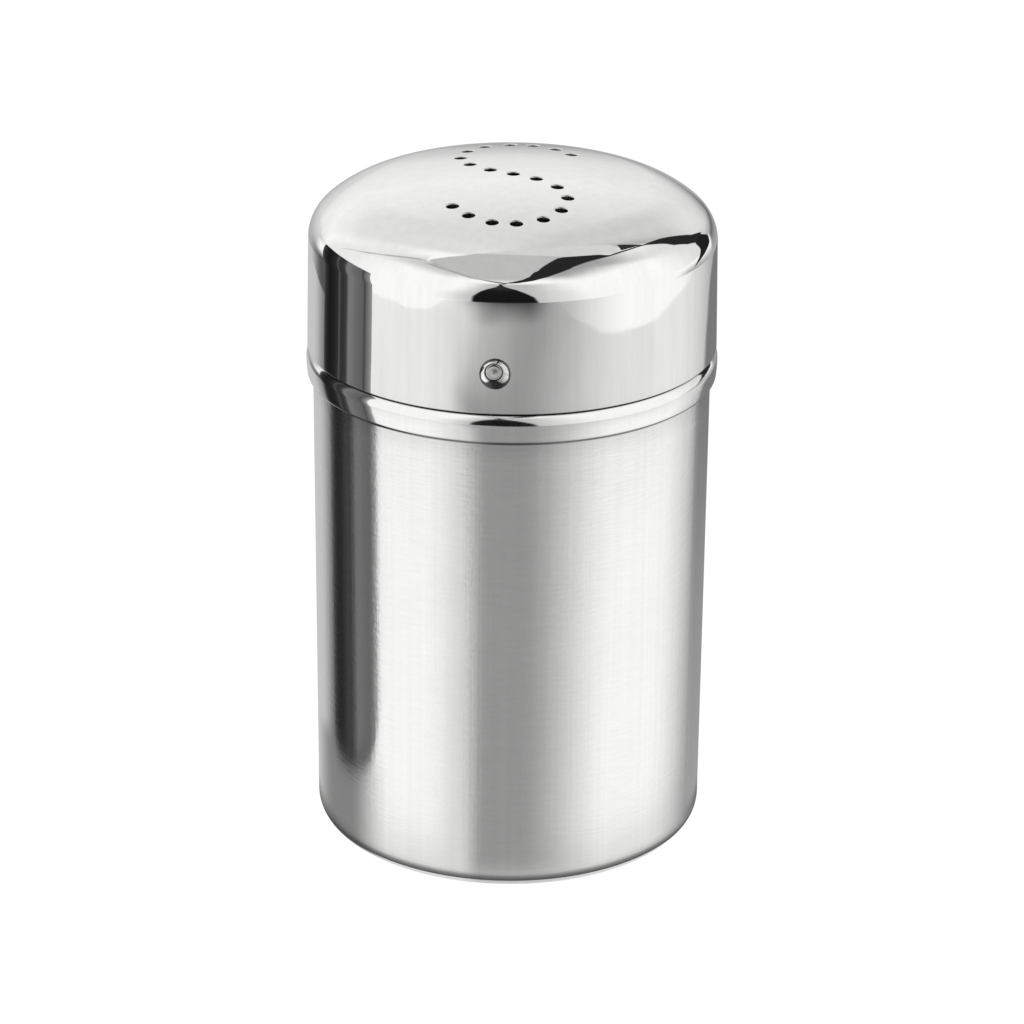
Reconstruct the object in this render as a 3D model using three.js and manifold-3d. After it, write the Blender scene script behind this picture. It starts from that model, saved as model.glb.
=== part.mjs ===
// Steel shaker for salt and ground spice. Millimetres, +Z up, origin at the centre of the foot.
// A deep-drawn cup carries a domed lid, which sits on a bead that is rolled out of the cup's wall.
// Two pins, riveted in the lid's skirt, run in two J-shaped slots in the cup's neck. They stand at
// the foot of the slots' upright legs, where the lid can be lifted. Turned clockwise, seen from
// above, they go along the level legs, and the lid is locked.
import * as THREE from "three";
import { mergeVertices } from "three/addons/utils/BufferGeometryUtils.js";
import Module from "manifold-3d";

const wasm = await Module();
wasm.setup();

// Sheet and fits
const sheet = 0.6; // thickness of the steel that the cup and the lid are drawn from
const seatGap = 0.3; // left between pieces that touch on the real shaker
const neckGap = 0.35; // between the rim of the neck and the skirt around it
const overrun = 2; // how far a cutter passes the sheet that it cuts

// Cup
const cupRadius = 35; // outside of the straight wall
const cupCornerRadius = 3.3; // outside, between the wall and the foot
const panelRadius = 25; // the middle of the foot, which is pushed up
const panelRise = 0.8; // so that only a ring stands on the table
const panelSlope = 2; // width of the step around the panel

// Bead, which the lid sits on
const seatHeight = 90.45; // top of the bead
const beadStandout = 1.16; // at its fullest, past the straight wall
const beadDrop = 1.78; // from its top down to its fullest line
const beadSwellRadius = 6; // long rounding of its face
const beadEdgeRadius = 0.9; // short rounding under the lid's rim
const beadHollowRadius = 1; // corner in which it grows out of the wall

// Neck, inside the lid
const neckHeight = 14.5; // above the bead

// Lid
const rimInset = 0.21; // how far the rim stays inside the bead's fullest line
const skirtHeight = 19.5; // straight part, from the rim up
const skirtDraft = 0.39; // by which its radius shrinks on the way
const shoulderRadius = 6.6; // first rounding above the skirt
const shoulderTurnDegrees = 49.5; // how far that rounding turns before the next
const brimRadius = 18.9; // second rounding
const crownRadius = 148; // nearly flat middle of the dome

// Holes that the spice falls through, in an S as wide and high as this, across and along the lid
const pourHoleDiameter = 2;
const spreadWidth = 20.4;
const spreadLength = 44.2;
// Half of the S, from its end over its bend to the spine, as shares of half its width and length.
// The other half is the same, turned by half a turn about the hole in the middle.
const pourHoleShares = [
  [1, 0.67],
  [0.73, 0.85],
  [0.34, 0.98],
  [-0.06, 1],
  [-0.5, 0.92],
  [-0.8, 0.74],
  [-0.91, 0.5],
  [-0.74, 0.28],
  [-0.39, 0.11],
];

// Bayonet pins and their slots
const pinRise = 7.15; // of a pin's axis above the lid's rim
const pinDirectionDegrees = -94.4; // of the front pin about the shaker's axis, from +X
const pinCount = 2;
const studDiameter = 4; // inside the skirt, the part that runs in a slot
const studGrip = 1; // how far the stud passes the inner face of the neck
const shankDiameter = 2.4; // through the skirt
const headDiameter = 5.3; // rolled rivet head outside the skirt
const headHeight = 1;
const headBoreDiameter = 2.9; // hollow in the middle of the rolled head
const headBoreDepth = 0.5;
const slotGap = 0.3; // on each side of a stud
const slotCornerRadius = 1; // where the upright leg meets the level one
const lockTurnDegrees = 24; // from the upright leg to the closed end of the level leg

// Places that follow from the sizes above
const rimHeight = seatHeight + seatGap;
const rimRadius = cupRadius + beadStandout - rimInset;
const skirtTop = rimHeight + skirtHeight;
const neckTop = seatHeight + neckHeight;
const neckRadius = skirtRadiusAt(neckTop) - sheet - neckGap;
const pinHeight = rimHeight + pinRise;

// How finely round shapes are divided
const turnSides = 72;
const pinSides = 24;
const pourHoleSides = 12;
const fineSteps = 2;
const roundSteps = 4;
const levelSteps = 5;

const satinSteel = new THREE.MeshStandardMaterial({
  color: 0xc6c6c4,
  metalness: 1,
  roughness: 0.34,
});
const polishedSteel = new THREE.MeshStandardMaterial({
  color: 0xd6d6d5,
  metalness: 1,
  roughness: 0.08,
});

function radians(degrees) {
  return THREE.MathUtils.degToRad(degrees);
}

// Outer radius of the lid's skirt at a height.
function skirtRadiusAt(height) {
  return rimRadius - (skirtDraft * (height - rimHeight)) / skirtHeight;
}

// A point that lies at a distance and an angle from a centre.
function around(centre, radius, angle) {
  const x = centre.x + radius * Math.cos(angle);
  const y = centre.y + radius * Math.sin(angle);
  return new THREE.Vector2(x, y);
}

// Points on an arc, both ends included.
function arc(centre, radius, from, to, steps) {
  const points = [];
  for (let i = 0; i <= steps; i += 1) {
    points.push(around(centre, radius, from + ((to - from) * i) / steps));
  }
  return points;
}

// A geometry as a closed mesh: shared vertices merged, collapsed triangles at the poles dropped.
function closed(geometry) {
  const bare = geometry.clone();
  bare.deleteAttribute("normal");
  bare.deleteAttribute("uv");
  const merged = mergeVertices(bare);
  const index = merged.index.array;
  const kept = [];
  for (let i = 0; i < index.length; i += 3) {
    const [a, b, c] = index.slice(i, i + 3);
    if (a !== b && b !== c && c !== a) {
      kept.push(a, b, c);
    }
  }
  merged.setIndex(kept);
  return merged;
}

function toSolid(geometry) {
  const mesh = closed(geometry);
  return new wasm.Manifold(
    new wasm.Mesh({
      numProp: 3,
      vertProperties: new Float32Array(mesh.attributes.position.array),
      triVerts: new Uint32Array(mesh.index.array),
    })
  );
}

function toGeometry(solid) {
  const mesh = solid.getMesh();
  const geometry = new THREE.BufferGeometry();
  geometry.setAttribute("position", new THREE.BufferAttribute(mesh.vertProperties, 3));
  geometry.setIndex(new THREE.BufferAttribute(mesh.triVerts, 1));
  geometry.computeVertexNormals();
  return geometry;
}

// A geometry with a list of cutters taken out of it.
function cut(geometry, cutters) {
  let solid = toSolid(geometry);
  for (const cutter of cutters) {
    solid = solid.subtract(toSolid(cutter));
  }
  return toGeometry(solid);
}

// A profile of radius and height, turned about the Z axis.
function turned(profile, sides) {
  const geometry = new THREE.LatheGeometry(profile, sides);
  geometry.rotateX(Math.PI / 2);
  return geometry;
}

// Where the arcs of the bead have their centres, and the directions in which they meet.
function beadPlan() {
  const swell = new THREE.Vector2(cupRadius + beadStandout - beadSwellRadius, seatHeight - beadDrop);
  const edgeRadius = Math.min(beadEdgeRadius, beadStandout);
  const edgeRise = beadDrop - edgeRadius;
  const edgeAngle = Math.asin(edgeRise / (beadSwellRadius - edgeRadius));
  const edge = around(swell, beadSwellRadius - edgeRadius, edgeAngle);
  const hollowX = cupRadius + beadHollowRadius;
  const reach = beadSwellRadius + beadHollowRadius;
  const hollowAngle = -Math.acos((hollowX - swell.x) / reach);
  const hollow = around(swell, reach, hollowAngle);
  return { swell, edge, edgeRadius, edgeAngle, hollow, hollowAngle };
}

// One face of the cup's sheet from the foot to the neck, set inwards from the outer face.
function cupFace(inset) {
  const { swell, edge, edgeRadius, edgeAngle, hollow, hollowAngle } = beadPlan();
  const corner = new THREE.Vector2(cupRadius - cupCornerRadius, cupCornerRadius);
  const neck = neckRadius - inset;
  return [
    new THREE.Vector2(0, panelRise + inset),
    new THREE.Vector2(panelRadius - panelSlope, panelRise + inset),
    new THREE.Vector2(panelRadius, inset),
    ...arc(corner, cupCornerRadius - inset, -Math.PI / 2, 0, roundSteps),
    ...arc(hollow, beadHollowRadius + inset, Math.PI, Math.PI + hollowAngle, fineSteps),
    ...arc(swell, beadSwellRadius - inset, hollowAngle, edgeAngle, roundSteps).slice(1),
    ...arc(edge, edgeRadius - inset, edgeAngle, Math.PI / 2, fineSteps).slice(1),
    new THREE.Vector2(neck, seatHeight - inset),
    new THREE.Vector2(neck, neckTop),
  ];
}

// Outline of a J-shaped slot, laid flat: x is the way around the neck, y the height.
function slotOutline() {
  const half = studDiameter / 2 + slotGap;
  const reach = radians(lockTurnDegrees) * neckRadius;
  const mouth = neckTop + overrun;
  const bend = slotCornerRadius;
  const bendCentre = new THREE.Vector2(-half - bend, pinHeight + half + bend);
  const lockedCentre = new THREE.Vector2(-reach, pinHeight);
  const openCentre = new THREE.Vector2(0, pinHeight);
  const upperEdge = [];
  const lowerEdge = [];
  for (let i = 1; i < levelSteps; i += 1) {
    const way = i / levelSteps;
    upperEdge.push(new THREE.Vector2(bendCentre.x - (reach + bendCentre.x) * way, pinHeight + half));
    lowerEdge.push(new THREE.Vector2(-reach + reach * way, pinHeight - half));
  }
  return [
    new THREE.Vector2(-half, mouth),
    ...arc(bendCentre, bend, 0, -Math.PI / 2, fineSteps),
    ...upperEdge,
    ...arc(lockedCentre, half, Math.PI / 2, (3 * Math.PI) / 2, 2 * roundSteps),
    ...lowerEdge,
    ...arc(openCentre, half, -Math.PI / 2, 0, roundSteps),
    new THREE.Vector2(half, mouth),
  ];
}

// Cutter for the slot that starts at a direction: its flat outline, thickened and bent round.
function slotCutter(direction) {
  const shape = new THREE.Shape(slotOutline());
  const depth = sheet + 2 * overrun;
  const geometry = new THREE.ExtrudeGeometry(shape, { depth, bevelEnabled: false });
  const places = geometry.attributes.position;
  for (let i = 0; i < places.count; i += 1) {
    const angle = direction + places.getX(i) / neckRadius;
    const radius = neckRadius - sheet - overrun + places.getZ(i);
    places.setXYZ(i, radius * Math.cos(angle), radius * Math.sin(angle), places.getY(i));
  }
  return geometry;
}

function pinDirections() {
  const directions = [];
  for (let i = 0; i < pinCount; i += 1) {
    directions.push(radians(pinDirectionDegrees) + (2 * Math.PI * i) / pinCount);
  }
  return directions;
}

function cupShell() {
  const profile = [...cupFace(0), ...cupFace(sheet).reverse()];
  return cut(turned(profile, turnSides), pinDirections().map(slotCutter));
}

// Centres of the dome's arcs, the directions in which they meet, and the dome's highest point.
function domePlan() {
  const skirtTilt = Math.atan(skirtDraft / skirtHeight);
  const skirtEnd = new THREE.Vector2(skirtRadiusAt(skirtTop), skirtTop);
  const shoulder = around(skirtEnd, -shoulderRadius, skirtTilt);
  const shoulderEnd = radians(shoulderTurnDegrees);
  const brim = around(shoulder, shoulderRadius - brimRadius, shoulderEnd);
  const brimToCrown = crownRadius - brimRadius;
  const brimEnd = Math.acos(brim.x / brimToCrown);
  const crown = new THREE.Vector2(0, brim.y - brimToCrown * Math.sin(brimEnd));
  return { skirtTilt, shoulder, shoulderEnd, brim, brimEnd, crown, top: crown.y + crownRadius };
}

// One face of the lid's sheet from the rim to the crown, set inwards from the outer face.
function lidFace(inset) {
  const { skirtTilt, shoulder, shoulderEnd, brim, brimEnd, crown } = domePlan();
  return [
    new THREE.Vector2(rimRadius - inset, rimHeight),
    ...arc(shoulder, shoulderRadius - inset, skirtTilt, shoulderEnd, roundSteps),
    ...arc(brim, brimRadius - inset, shoulderEnd, brimEnd, roundSteps).slice(1),
    ...arc(crown, crownRadius - inset, brimEnd, Math.PI / 2, roundSteps).slice(1),
  ];
}

function pourHoleCutter(x, y) {
  const bottom = skirtTop;
  const top = domePlan().top + overrun;
  const radius = pourHoleDiameter / 2;
  const geometry = new THREE.CylinderGeometry(radius, radius, top - bottom, pourHoleSides);
  geometry.rotateX(Math.PI / 2);
  geometry.translate(x, y, (top + bottom) / 2);
  return geometry;
}

function pourHoleCutters() {
  const cutters = [pourHoleCutter(0, 0)];
  for (const [widthShare, lengthShare] of pourHoleShares) {
    const x = (widthShare * spreadWidth) / 2;
    const y = (lengthShare * spreadLength) / 2;
    cutters.push(pourHoleCutter(x, y), pourHoleCutter(-x, -y));
  }
  return cutters;
}

// Cutter for the hole in the skirt that a pin's shank goes through.
function shankHoleCutter(direction) {
  const radius = shankDiameter / 2 + seatGap;
  const length = sheet + 2 * overrun;
  const geometry = new THREE.CylinderGeometry(radius, radius, length, pinSides);
  geometry.rotateZ(Math.PI / 2);
  geometry.translate(skirtRadiusAt(pinHeight) - sheet / 2, 0, pinHeight);
  geometry.rotateZ(direction);
  return geometry;
}

function lidShell() {
  const profile = [...lidFace(0), ...lidFace(sheet).reverse()];
  profile.push(profile[0].clone());
  const cutters = [...pourHoleCutters(), ...pinDirections().map(shankHoleCutter)];
  return cut(turned(profile, turnSides), cutters);
}

// A pin along +X, with the skirt's outer face at x = 0: a stud inside, a rolled head outside.
function bayonetPin() {
  const skirtInside = skirtRadiusAt(pinHeight) - sheet;
  const studTip = neckRadius - sheet - studGrip - skirtInside - sheet;
  const studEnd = -sheet - seatGap;
  const headTop = seatGap + headHeight;
  const rollRadius = (headDiameter - headBoreDiameter) / 4;
  const roll = new THREE.Vector2(headBoreDiameter / 2 + rollRadius, headTop - rollRadius);
  const profile = [
    new THREE.Vector2(0, studTip),
    new THREE.Vector2(studDiameter / 2, studTip),
    new THREE.Vector2(studDiameter / 2, studEnd),
    new THREE.Vector2(shankDiameter / 2, studEnd),
    new THREE.Vector2(shankDiameter / 2, seatGap),
    new THREE.Vector2(headDiameter / 2, seatGap),
    ...arc(roll, rollRadius, 0, Math.PI, roundSteps),
    new THREE.Vector2(headBoreDiameter / 2, headTop - headBoreDepth),
    new THREE.Vector2(0, headTop - headBoreDepth),
  ];
  const geometry = new THREE.LatheGeometry(profile, pinSides);
  geometry.rotateZ(-Math.PI / 2);
  return closed(geometry);
}

function named(name, geometry, material) {
  const mesh = new THREE.Mesh(geometry, material);
  mesh.name = name;
  return mesh;
}

function placePin(name, direction) {
  const radius = skirtRadiusAt(pinHeight);
  const pin = named(name, bayonetPin(), polishedSteel);
  pin.position.set(radius * Math.cos(direction), radius * Math.sin(direction), pinHeight);
  pin.rotation.z = direction;
  return pin;
}

const [frontDirection, rearDirection] = pinDirections();

const lid = new THREE.Group();
lid.add(named("lid_shell", lidShell(), polishedSteel));
lid.add(placePin("bayonet_pin_front", frontDirection));
lid.add(placePin("bayonet_pin_rear", rearDirection));

const shaker = new THREE.Group();
shaker.add(named("cup_shell", cupShell(), satinSteel));
shaker.add(lid);

export default shaker;
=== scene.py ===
import bpy
import numpy as np
from mathutils import Matrix, Vector
from mathutils.geometry import delaunay_2d_cdt


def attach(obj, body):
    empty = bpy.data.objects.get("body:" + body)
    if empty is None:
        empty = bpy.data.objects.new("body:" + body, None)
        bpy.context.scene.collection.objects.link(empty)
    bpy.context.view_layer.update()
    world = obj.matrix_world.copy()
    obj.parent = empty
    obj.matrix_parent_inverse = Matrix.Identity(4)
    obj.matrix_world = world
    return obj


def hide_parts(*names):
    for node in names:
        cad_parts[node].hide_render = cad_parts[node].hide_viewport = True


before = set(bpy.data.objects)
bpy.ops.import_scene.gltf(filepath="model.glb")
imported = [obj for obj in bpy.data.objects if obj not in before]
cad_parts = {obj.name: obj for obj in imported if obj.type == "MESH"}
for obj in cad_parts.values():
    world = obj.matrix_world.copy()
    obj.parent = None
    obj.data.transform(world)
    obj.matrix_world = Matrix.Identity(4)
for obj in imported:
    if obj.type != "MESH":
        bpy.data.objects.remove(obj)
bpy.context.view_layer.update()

# Cup. One deep-drawn shell of stainless sheet: a foot with its middle pushed up, a straight wall, a
# rolled bead that carries the lid, and a neck with two J-shaped slots that are cut through it. The
# wall is ground to a satin with hairlines around the axis, the bead and the neck are buffed bright.
MM = 0.001
SHEET = 0.6
CUP_RADIUS = 35.0
FOOT_CORNER = 3.3
PANEL_RADIUS, PANEL_RISE, PANEL_STEP = 24.0, 0.8, 1.0
BEAD_TOP = 90.45
BEAD_STANDOUT, BEAD_WIDEST = 1.155, 88.5
BEAD_ROUND, BEAD_FACE, BEAD_SWELL = 2.9, 2.65, 25.0
BEAD_EDGE, BEAD_HOLLOW = 0.65, 0.5
NECK_RADIUS, NECK_TOP, NECK_ROUNDING = 34.716, 104.95, 0.5
EDGE = 0.2
SLOT_HALF, SLOT_BEND, SLOT_MOUTH = 2.3, 1.0, 1.2
# Dark bands under the bead and at the lid's seat, painted shade of the tight steps and polishing
# compound left in them: height, half height and fade.
CREVICES = ((85.3, 0.2, 0.42), (90.65, 0.15, 0.35))
PIN_HEIGHT = 97.9
LOCK_TURN = np.radians(24.0)
PIN_DIRECTIONS = np.radians([85.6, -94.4])
SEAM = np.radians(-184.4)
# Of the mesh: columns around, the foot's first ring, and the neck's inner points, which stay a margin
# from its outline.
COLUMNS = 256
POLE_RING = 2.0
NECK_SPACING, NECK_MARGIN = 1.2, 0.55
around = SEAM + np.arange(COLUMNS) * 2 * np.pi / COLUMNS


def line(start, end, steps=1):
    """Rows (r, z, nr, nz) on a straight line: even points, and the normal to the right of the way."""
    start, end = np.array(start, float), np.array(end, float)
    way = (end - start) / np.linalg.norm(end - start)
    share = np.linspace(0, 1, steps + 1)[:, None]
    points = start + share * (end - start)
    return np.hstack([points, np.tile([way[1], -way[0]], (steps + 1, 1))])


def unit_at(angle):
    """The unit vector (cos a, sin a)."""
    return np.stack([np.cos(angle), np.sin(angle)], -1)


def arc(centre, radius, start, end, steps):
    """Rows (r, z, nr, nz) on an arc: centre + radius (cos a, sin a), and the normal to its right."""
    out = unit_at(np.linspace(start, end, steps + 1))
    return np.hstack([np.array(centre) + radius * out, out * np.sign(end - start)])


def path(*parts):
    """Joins parts of a profile, and drops a row that repeats the one before."""
    rows = np.vstack(parts)
    step = np.abs(np.diff(rows[:, :2], axis=0)).max(1)
    return rows[np.concatenate([[True], step > 1e-6])]


def other_face(rows, depth):
    """The sheet's other face, walked the other way: each point moved by depth against its normal."""
    return np.hstack([rows[:, :2] - depth * rows[:, 2:], -rows[:, 2:]])[::-1]


def turned(rows, angles):
    """Surface of revolution: (r cos t, r sin t, z), with the normal (nr cos t, nr sin t, nz)."""
    cos, sin = np.cos(angles)[None], np.sin(angles)[None]
    r, z, nr, nz = rows.T[..., None]
    points = np.stack([r * cos, r * sin, z + 0 * cos], -1)
    return points, np.stack([nr * cos, nr * sin, nz + 0 * cos], -1)


def fade(value, width):
    """Smooth step from 0 to 1 over a width."""
    share = np.clip((value + 1e-6) / max(width, 1e-6), 0, 1)
    return share * share * (3 - 2 * share)


class Skin:
    """Points, outward normals and faces of one closed piece, in millimetres, and its painted shade and
    grime: how much darker the steel is drawn in its crevices and shaded places, from 0 to 1."""

    def __init__(self):
        self.points, self.normals, self.grime, self.faces, self.count = [], [], [], [], 0

    def add(self, points, normals, grime=0.0):
        """Adds points, and returns their numbers in the same grid."""
        shape = points.shape[:-1]
        self.points.append(points.reshape(-1, 3))
        self.normals.append(normals.reshape(-1, 3))
        self.grime.append(np.broadcast_to(grime, shape).ravel())
        first = self.count
        self.count += int(np.prod(shape))
        return np.arange(first, self.count).reshape(shape)

    def weave(self, grid, flip=False):
        """Quads between neighbouring rows of a grid of numbers whose rows close on themselves."""
        beside = np.roll(grid, -1, 1)
        quads = np.stack([grid[:-1], beside[:-1], beside[1:], grid[1:]], -1).reshape(-1, 4)
        self.faces.append(quads[:, ::-1] if flip else quads)

    def fan(self, pole, ring, flip=False):
        """Triangles between a pole and the ring around it."""
        pole = np.full(len(ring), pole)
        triangles = np.stack([pole, np.roll(ring, -1), ring], -1)
        self.faces.append(triangles[:, ::-1] if flip else triangles)


def inside(points, outline):
    """Even-odd rule: a point is inside where a level ray from it crosses the outline oddly often."""
    a, b = outline, np.roll(outline, -1, 0)
    x, y = points[:, None, 0], points[:, None, 1]
    spans = (a[:, 1] > y) != (b[:, 1] > y)
    rise = np.where(b[:, 1] == a[:, 1], 1, b[:, 1] - a[:, 1])
    return (spans & (x < a[:, 0] + (y - a[:, 1]) / rise * (b[:, 0] - a[:, 0]))).sum(1) % 2 == 1


def fill(skin, flat, edges, holes, grid, gap, sides, wraps=False):
    """Delaunay triangles over a flat outline and the grid's points that are further than the gap from
    it and in no hole, laid on both faces of the sheet. Each side gives the outline's numbers, a
    function from flat points to the face, and whether it is flipped. A grid that wraps ends with the
    column it starts with."""
    rows, columns = grid.shape[:2]
    spots = grid.reshape(-1, 2)
    near = np.linalg.norm(spots[:, None] - flat[None], axis=-1).min(1)
    kept = near > gap
    for hole in holes:
        kept &= ~inside(spots, hole)
    kept = kept.reshape(rows, columns)
    if wraps:
        kept[:, -1] = kept[:, 0]
    points = np.vstack([flat, grid[kept]])
    made = delaunay_2d_cdt([Vector(p) for p in points], edges, [], 0, 1e-6, True)
    triangles = np.array([source[0] for source in made[3]])[np.array(made[2])]
    corners = points[triangles]
    first, second = corners[:, 1] - corners[:, 0], corners[:, 2] - corners[:, 0]
    area = first[:, 0] * second[:, 1] - first[:, 1] * second[:, 0]
    triangles[area < 0] = triangles[area < 0][:, ::-1]
    solid = np.abs(area) > 1e-7
    for hole in holes:
        solid &= ~inside(corners.mean(1), hole)
    triangles = triangles[solid]
    for numbers, place, flip in sides:
        own = kept.copy()
        if wraps:
            own[:, -1] = False
        inner = np.zeros((rows, columns), int)
        inner[own] = skin.add(*place(grid[own]))
        if wraps:
            inner[:, -1] = inner[:, 0]
        faces = np.concatenate([numbers, inner[kept]])[triangles]
        skin.faces.append(faces[:, ::-1] if flip else faces)


def chain(numbers, closes=False):
    """Pairs of neighbours along a line of numbers."""
    pairs = [(int(a), int(b)) for a, b in zip(numbers[:-1], numbers[1:])]
    return pairs + [(int(numbers[-1]), int(numbers[0]))] if closes else pairs


def on_cylinder(radius, height_tilt=0.0, facing=1.0, at=0.0):
    """Places flat points (way around, height) on a cylinder, or on a cone that narrows upwards."""
    def place(flat):
        angle = SEAM + flat[:, 0] / NECK_RADIUS
        r = radius - np.tan(height_tilt) * (flat[:, 1] - at)
        cos, sin = np.cos(angle), np.sin(angle)
        points = np.stack([r * cos, r * sin, flat[:, 1]], -1)
        level, up = facing * np.cos(height_tilt), facing * np.sin(height_tilt)
        return points, np.stack([level * cos, level * sin, up + 0 * cos], -1)
    return place


def slot_outline(inset):
    """Half of the neck's upper edge with one J-shaped slot, laid flat, rows (u, z, nu, nz).
    Arcs around the slot's mouth, foot, closed end and bend, joined by straight lines."""
    reach = LOCK_TURN * NECK_RADIUS
    half, bend, mouth = SLOT_HALF, SLOT_BEND, SLOT_MOUTH
    quarter, top = np.pi / 2, NECK_TOP - inset
    side = half + inset
    far = NECK_RADIUS * quarter
    low, high = PIN_HEIGHT - side, PIN_HEIGHT + side
    return path(
        line((far, top), (half + mouth, top), 56),
        arc((half + mouth, NECK_TOP - mouth), mouth - inset, quarter, 2 * quarter, 6),
        line((side, NECK_TOP - mouth), (side, PIN_HEIGHT), 5),
        arc((0, PIN_HEIGHT), side, 0, -quarter, 8),
        line((0, low), (-reach, low), 17),
        arc((-reach, PIN_HEIGHT), side, -quarter, -3 * quarter, 16),
        line((-reach, high), (-half - bend, high), 14),
        arc((-half - bend, PIN_HEIGHT + half + bend), bend - inset, -quarter, 0, 5),
        line((-side, PIN_HEIGHT + half + bend), (-side, NECK_TOP - mouth), 3),
        arc((-half - mouth, NECK_TOP - mouth), mouth - inset, 0, quarter, 6),
        line((-half - mouth, top), (-far, top), 56),
    )


def neck_edge(inset):
    """The whole upper edge, both halves, once around from the seam, rows as in slot_outline."""
    halves = []
    for direction in PIN_DIRECTIONS:
        half = slot_outline(inset)
        half[:, 0] += (direction - SEAM) * NECK_RADIUS
        halves.append(half)
    return path(*halves)


def bead_profile():
    """Bead of the cup, four arcs that meet smoothly: a tight hollow, a small round under the face,
    the nearly upright face and the round top, which a level seat for the lid cuts off."""
    widest = CUP_RADIUS + BEAD_STANDOUT
    swell = np.array([widest - BEAD_SWELL, BEAD_WIDEST])
    top = np.array([widest - BEAD_ROUND, BEAD_WIDEST])
    face_angle = -np.arcsin(BEAD_FACE / BEAD_SWELL)
    edge = swell + (BEAD_SWELL - BEAD_EDGE) * unit_at(face_angle)
    reach = BEAD_EDGE + BEAD_HOLLOW
    hollow_angle = -np.arccos((CUP_RADIUS + BEAD_HOLLOW - edge[0]) / reach)
    hollow = edge + reach * unit_at(hollow_angle)
    seat_angle = np.arcsin((BEAD_TOP - BEAD_WIDEST) / BEAD_ROUND)
    return path(
        arc(hollow, BEAD_HOLLOW, np.pi, np.pi + hollow_angle, 8),
        arc(edge, BEAD_EDGE, hollow_angle, face_angle, 10),
        arc(swell, BEAD_SWELL, face_angle, 0, 12),
        arc(top, BEAD_ROUND, 0, seat_angle, 14),
    )


def foot_profile():
    """Foot of the cup: a level panel, two equal arcs down to the ring, and the corner to the wall."""
    turn = np.arctan2(PANEL_RISE, 2 * PANEL_STEP) * 2
    radius = PANEL_RISE / 2 / (1 - np.cos(turn))
    half = radius * np.sin(turn)
    inner, outer = PANEL_RADIUS - half, PANEL_RADIUS + half
    down = -np.pi / 2
    return path(
        line((POLE_RING, PANEL_RISE), (inner, PANEL_RISE), 6),
        arc((inner, PANEL_RISE - radius), radius, -down, -down - turn, 6),
        arc((outer, radius), radius, down - turn, down, 6),
        line((outer, 0), (CUP_RADIUS - FOOT_CORNER, 0), 2),
        arc((CUP_RADIUS - FOOT_CORNER, FOOT_CORNER), FOOT_CORNER, down, 0, 20),
    )


bead = bead_profile()
neck_foot = BEAD_TOP + NECK_ROUNDING
outer_rows = path(
    foot_profile(),
    line((CUP_RADIUS, FOOT_CORNER), bead[0, :2], 24),
    bead,
    line(bead[-1, :2], (NECK_RADIUS + NECK_ROUNDING, BEAD_TOP)),
    arc((NECK_RADIUS + NECK_ROUNDING, neck_foot), NECK_ROUNDING, -np.pi / 2, -np.pi, 6),
)
cup = Skin()
# The outer face is drawn darker in these two bands: painted shade, with polishing compound.
crevices = [1 - fade(abs(outer_rows[:, 1:2] - z) - half, soft) for z, half, soft in CREVICES]
outer_grid = cup.add(*turned(outer_rows, around), np.maximum(*crevices))
inner_grid = cup.add(*turned(other_face(outer_rows, SHEET), around))
cup.weave(outer_grid)
cup.weave(inner_grid)
under, floor_pole = cup.add(
    np.array([[0, 0, PANEL_RISE], [0, 0, PANEL_RISE + SHEET]]), np.array([[0, 0, -1.0], [0, 0, 1.0]])
)
cup.fan(under, outer_grid[0])
cup.fan(floor_pole, inner_grid[-1], flip=True)

# The rounded edge of the neck and its slots, in loops from the outer face over to the inner one. Each
# has an inset from the edge, a depth in the sheet, and the share of its normal that faces outwards.
slopes = np.radians([0, 30, 60, 90])
outer_half = np.stack([EDGE * (1 - np.sin(slopes)), EDGE * (1 - np.cos(slopes)), np.cos(slopes)], -1)
inner_half = outer_half[::-1] * [1, -1, -1] + [0, SHEET, 0]
loops = []
for inset, depth, facing in np.vstack([outer_half, inner_half]):
    rows = neck_edge(inset)[:-1]
    angle = SEAM + rows[:, 0] / NECK_RADIUS
    radius = NECK_RADIUS - depth
    cos, sin = np.cos(angle), np.sin(angle)
    level = facing * np.stack([cos, sin, 0 * cos], -1)
    sideways = rows[:, 2:3] * np.stack([-sin, cos, 0 * cos], -1) + rows[:, 3:] * np.array([0, 0, 1.0])
    points = np.stack([radius * cos, radius * sin, rows[:, 1]], -1)
    loops.append(cup.add(points, level + np.sqrt(1 - facing**2) * sideways))
cup.weave(np.array(loops), flip=True)

full = 2 * np.pi * NECK_RADIUS
ring = np.stack([np.arange(COLUMNS + 1) / COLUMNS * full, np.full(COLUMNS + 1, neck_foot)], -1)
upper = neck_edge(EDGE)[:, :2]
upper[0, 0], upper[-1, 0] = full, 0
heights = np.arange(neck_foot + NECK_SPACING, NECK_TOP - EDGE - 0.5, NECK_SPACING)
neck_lattice = np.stack(np.meshgrid(ring[:, 0], heights), -1)
neck_lines = chain(np.arange(len(ring))) + chain(len(ring) + np.arange(len(upper)))
over_neck = NECK_TOP + 9
above = np.vstack([upper, [[0, over_neck], [full, over_neck]]])
wrapped = np.append(np.arange(len(upper) - 1), 0)
neck_sides = []
for foot, loop, depth, facing in ((outer_grid[-1], loops[0], 0, 1.0),
                                  (inner_grid[0], loops[-1], SHEET, -1.0)):
    numbers = np.concatenate([np.append(foot, foot[0]), loop[wrapped]])
    neck_sides.append((numbers, on_cylinder(NECK_RADIUS - depth, facing=facing), facing < 0))
fill(cup, np.vstack([ring, upper]), neck_lines, [above], neck_lattice, NECK_MARGIN, neck_sides,
     wraps=True)


def linear(colour):
    """A hex sRGB colour as linear red, green, blue and alpha 1."""
    value = np.array([int(colour[i:i + 2], 16) for i in (1, 3, 5)]) / 255
    made = np.where(value <= 0.04045, value / 12.92, ((value + 0.055) / 1.055) ** 2.4)
    return (*made.tolist(), 1.0)


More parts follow.
